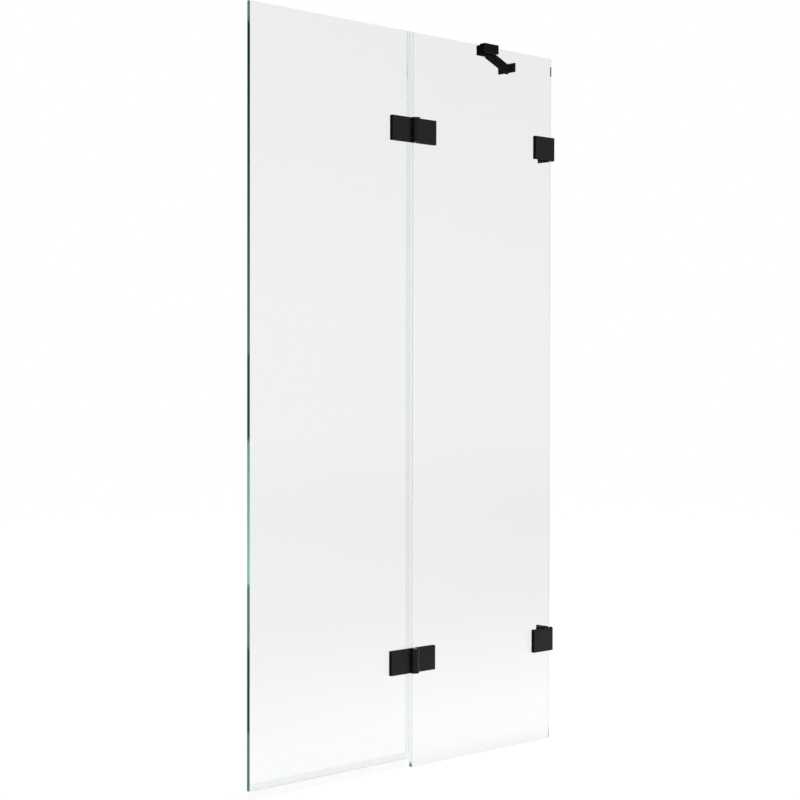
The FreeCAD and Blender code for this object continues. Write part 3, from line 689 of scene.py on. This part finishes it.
@dataclass
class Seals:
    """The clear seals of the door: three joint lengths and the bottom seal.

    Attributes:
        wall: Thickness of the channel walls.
        fit: Room between the channel and the glass.
        leg: Length of the joint seal's leg on the room side of the glass.
        back_leg: Length of the joint seal's leg on the bath side.
        fin: Thickness of the fin across the joint.
        fin_clear: Room between the fin and the fixed glass.
        lip: Thickness of the lip under the door.
        soften: Rounding of the profile's corners.
    """

    wall: float = 1.2 * MILLIMETRE
    fit: float = 0.1 * MILLIMETRE
    leg: float = 12.0 * MILLIMETRE
    back_leg: float = 5.0 * MILLIMETRE
    fin: float = 1.6 * MILLIMETRE
    fin_clear: float = 0.4 * MILLIMETRE
    lip: float = 1.2 * MILLIMETRE
    soften: float = 0.45 * MILLIMETRE

    def build(self) -> None:
        """Build every seal, dress it and set it on the door."""
        material = CLEAR_VINYL.material()
        for place in ("lower", "middle", "upper"):
            self.finish_piece(self.joint_length(place), f"{place}_joint_seal", material)
        self.finish_piece(self.bottom_length(), "bottom_seal", material)

    def finish_piece(self, piece: bpy.types.Object, node: str, material: bpy.types.Material) -> None:
        """Dress a seal and let it stand for its CAD node.

        Args:
            piece: The new seal.
            node: The CAD node that it replaces.
            material: The seal's material.
        """
        piece.data.materials.append(material)
        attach(piece, "door")
        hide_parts(node)
        LOG.info("built %s for %s", piece.name, node)

    def joint_length(self, place: str) -> bpy.types.Object:
        """One length of the joint seal, its profile carried along Z.

        Args:
            place: Which length: lower, middle or upper.

        Returns:
            The new piece.
        """
        low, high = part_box(f"{place}_joint_seal")
        door_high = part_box("door_glass")[1]
        inner = door_high.y + self.fit
        outer = inner + self.wall
        edge = door_high.x + self.fit
        web = edge + self.wall
        leg_end = door_high.x - self.leg
        back_end = door_high.x - self.back_leg
        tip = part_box("fixed_glass")[0].x - self.fin_clear
        front = -self.fin / 2
        corners = np.array((
            (leg_end, -outer), (web, -outer), (web, front), (tip, front), (tip, front + self.fin),
            (web, front + self.fin), (web, outer), (back_end, outer), (back_end, inner), (edge, inner),
            (edge, -inner), (leg_end, -inner),
        ))
        outline = rounded_outline(corners, self.soften)
        heights = np.array((low.z, high.z))
        rings = np.empty((2, len(outline), 3))
        rings[:, :, :2] = outline
        rings[:, :, 2] = heights[:, None]
        return prism(f"clear_joint_{place}", rings)

    def bottom_length(self) -> bpy.types.Object:
        """The bottom seal, its profile carried along X.

        Returns:
            The new piece.
        """
        low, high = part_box("bottom_seal")
        door_low, door_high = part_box("door_glass")
        inner = door_high.y + self.fit
        outer = inner + self.wall
        floor = door_low.z - self.fit
        web = floor - self.wall
        half_lip = self.lip / 2
        corners = np.array((
            (-outer, high.z), (-outer, web), (-half_lip, web), (-half_lip, low.z), (half_lip, low.z),
            (half_lip, web), (outer, web), (outer, high.z), (inner, high.z), (inner, floor),
            (-inner, floor), (-inner, high.z),
        ))
        outline = rounded_outline(corners, self.soften)
        ends = np.array((low.x, high.x))
        rings = np.empty((2, len(outline), 3))
        rings[:, :, 0] = ends[:, None]
        rings[:, :, 1:] = outline
        return prism("clear_bottom_seal", rings)


@dataclass(frozen=True)
class Softbox:
    """A square soft light that faces the middle of the screen.

    Attributes:
        name: The light's name.
        place: Where it stands.
        size: Side of its face.
        power: Its power in watts.
    """

    name: str
    place: Place
    size: float
    power: float

    def build(self) -> None:
        """Set the light up."""
        lamp = bpy.data.lights.new(self.name, "AREA")
        lamp.size = self.size
        lamp.energy = self.power
        light = bpy.data.objects.new(self.name, lamp)
        light.location = self.place
        middle = (CAD_BOX[0] + CAD_BOX[1]) / 2
        light.rotation_euler = (middle - Vector(self.place)).to_track_quat("-Z", "Y").to_euler()
        bpy.context.scene.collection.objects.link(light)


@dataclass(frozen=True)
class Viewpoint:
    """The photograph's viewpoint: nearly level, off the door's free edge, with a long lens.

    Attributes:
        place: Where the camera stands.
        heading: Turn of the view about Z from +Y, in degrees.
        dip: How far the view points below the horizon, in degrees.
        roll: Turn of the picture about the view, in degrees.
        lens: Focal length in millimetres.
        sensor: Width of the picture plane in millimetres.
        rise: Shift of the picture upwards, as a share of its width.
        reach: Distance up to which the camera sees.
    """

    place: Place = (-2.5871, -2.4897, 0.7992)
    heading: float = -43.286
    dip: float = 0.974
    roll: float = 0.111
    lens: float = 75.84
    sensor: float = 36.0
    rise: float = 0.00671
    reach: float = 100.0

    def build(self) -> None:
        """Set the camera up."""
        lens = bpy.data.cameras.new("photo_lens")
        lens.lens = self.lens
        lens.sensor_width = self.sensor
        lens.shift_y = self.rise
        lens.clip_end = self.reach
        camera = bpy.data.objects.new("photo_camera", lens)
        camera.location = self.place
        aim = Euler((math.radians(90.0 - self.dip), 0.0, math.radians(self.heading))).to_matrix()
        turn = Matrix.Rotation(math.radians(self.roll), 3, "Z")
        camera.rotation_euler = (aim @ turn).to_euler()
        bpy.context.scene.collection.objects.link(camera)
        bpy.context.scene.camera = camera


@dataclass
class Studio:
    """The pale floor, the white background, the soft lights and the camera.

    Attributes:
        floor_size: Side of the square floor.
        floor_drop: Floor below the screen's lowest edge, so that the faces never coincide.
        floor_shade: Share of lit floor in what the camera sees, which carries the shadow.
        white: Strength of the floor's own white, which makes up for the lit share.
        pool_near: Distance in front of the screen up to which the floor mirrors at its full level.
        pool_far: Distance in front of the screen from which the floor mirrors nothing.
        pool_level: Strength of the floor's mirror image next to the screen.
        far_near: Distance in front of the screen from which the floor mirrors again.
        far_far: Distance in front of the screen at which the floor mirrors like the room.
        haze_level: Strength of the room's mirror image at eye height.
        haze_top: Sine of the elevation at which the room's mirror image has faded.
        haze_low: Sine of the elevation up to which the room's mirror image has its full level.
        haze_side: Y part of a mirror's look at which the room's image has its full level.
        ambient: Strength of the soft light from all round.
        floor_pale: Grey of the lit floor.
        floor_blend: Distance from the screen over which the floor's front and back blend.
        sky_blend: Y part of a look over which the front and back of the surroundings blend.
        softboxes: The soft lights: over the wall side, over the door and on the bath side.
        viewpoint: The camera.
    """

    floor_size: float = 60.0
    floor_drop: float = 1.0 * MILLIMETRE
    floor_shade: float = 0.06
    white: float = 1.023
    pool_near: float = 0.3
    pool_far: float = 2.0
    pool_level: float = 1.3
    far_near: float = 2.9
    far_far: float = 14.0
    haze_level: float = 0.35
    haze_top: float = 0.2
    haze_low: float = 0.04
    haze_side: float = 0.5
    ambient: float = 0.7
    floor_pale: float = 0.9
    floor_blend: float = 0.1
    sky_blend: float = 0.05
    softboxes: tuple[Softbox, ...] = (
        Softbox("key_softbox", (1.4, -2.4, 3.8), 1.6, 80.0),
        Softbox("fill_softbox", (-2.6, -1.6, 3.0), 1.8, 4.0),
        Softbox("back_softbox", (1.6, 2.6, 3.8), 1.6, 50.0),
    )
    viewpoint: Viewpoint = Viewpoint()

    def build(self) -> None:
        """Build the floor, the world, the lights and the camera."""
        self.floor()
        self.world()
        for softbox in self.softboxes:
            softbox.build()
        self.viewpoint.build()

    def floor(self) -> None:
        """The floor: white to the camera and through glass, a fading pool to mirrors, pale to the rest."""
        half = self.floor_size / 2
        height = -self.floor_drop
        mesh = bpy.data.meshes.new("floor")
        mesh.from_pydata([(-half, -half, height), (half, -half, height), (half, half, height),
                          (-half, half, height)], [], [(0, 1, 2, 3)])
        floor = bpy.data.objects.new("floor", mesh)
        bpy.context.scene.collection.objects.link(floor)
        material, tree = empty_material("pale_floor")
        plain, mirror, inside = tree.sight()
        place = tree.add("ShaderNodeTexCoord")
        parts = tree.add("ShaderNodeSeparateXYZ")
        tree.link(place.outputs["Object"], parts.inputs["Vector"])
        in_front = tree.math("MULTIPLY", parts.outputs["Y"], -1.0)
        fade = tree.span(in_front, (self.pool_near, self.pool_far), (1.0, 0.0))
        front_only = tree.span(in_front, (-self.floor_blend, self.floor_blend), (0.0, self.pool_level))
        pool = tree.math("MULTIPLY", tree.math("POWER", fade, 2.0), front_only)
        far = tree.span(in_front, (self.far_near, self.far_far), (0.0, self.haze_level))
        watched = tree.math("MAXIMUM", mirror, inside)
        mirrored = tree.math("MULTIPLY", watched, tree.math("ADD", pool, far))
        back_only = tree.span(in_front, (self.floor_blend, -self.floor_blend), (0.0, 1.0))
        behind = tree.math("MULTIPLY", inside, back_only)
        seen = tree.math("MULTIPLY", tree.math("ADD", plain, behind), self.white)
        strength = tree.math("MAXIMUM", seen, mirrored)
        glow = tree.add("ShaderNodeEmission")
        tree.link(strength, glow.inputs["Strength"])
        pale = tree.add("ShaderNodeBsdfDiffuse", Color=(*(self.floor_pale,) * 3, 1.0))
        share = tree.math("MULTIPLY", tree.math("MAXIMUM", plain, watched), 1.0 - self.floor_shade)
        mix = tree.add("ShaderNodeMixShader")
        tree.link(share, mix.inputs["Fac"])
        tree.link(pale.outputs["BSDF"], mix.inputs[1])
        tree.link(glow.outputs["Emission"], mix.inputs[2])
        tree.show(mix.outputs["Shader"])
        mesh.materials.append(material)

    def world(self) -> None:
        """The surroundings: white to the camera and through glass, dim to mirrors, soft to the rest."""
        world = bpy.data.worlds.new("studio")
        bpy.context.scene.world = world
        world.use_nodes = True
        world.node_tree.nodes.clear()
        tree = Tree(world.node_tree)
        plain, mirror, inside = tree.sight()
        watched = tree.math("MAXIMUM", mirror, inside)
        place = tree.add("ShaderNodeTexCoord")
        parts = tree.add("ShaderNodeSeparateXYZ")
        tree.link(place.outputs["Generated"], parts.inputs["Vector"])
        upward = tree.span(parts.outputs["Z"], (self.haze_low, self.haze_top), (self.haze_level, 0.0))
        room_side = tree.span(parts.outputs["Y"], (0.0, -self.haze_side), (0.0, 1.0))
        haze = tree.math("MULTIPLY", watched, tree.math("MULTIPLY", upward, room_side))
        back_only = tree.span(parts.outputs["Y"], (-self.sky_blend, self.sky_blend), (0.0, 1.0))
        behind = tree.math("MULTIPLY", inside, back_only)
        soft = tree.math("MULTIPLY", tree.math("SUBTRACT", 1.0, watched), self.ambient)
        seen = tree.math("ADD", plain, behind)
        strength = tree.math("MAXIMUM", seen, tree.math("ADD", soft, haze))
        background = tree.add("ShaderNodeBackground", Color=(1.0, 1.0, 1.0, 1.0))
        tree.link(strength, background.inputs["Strength"])
        tree.show(background.outputs["Background"], "ShaderNodeOutputWorld")


def main() -> None:
    """Build and dress every piece of the screen, then the studio."""
    logging.basicConfig(level=logging.INFO, format="%(name)s: %(message)s")
    bpy.context.scene.view_settings.view_transform = "Standard"
    GlassPanels().dress()
    CadPieces().dress()
    Seals().build()
    Studio().build()


if __name__ == "__main__":
    main()
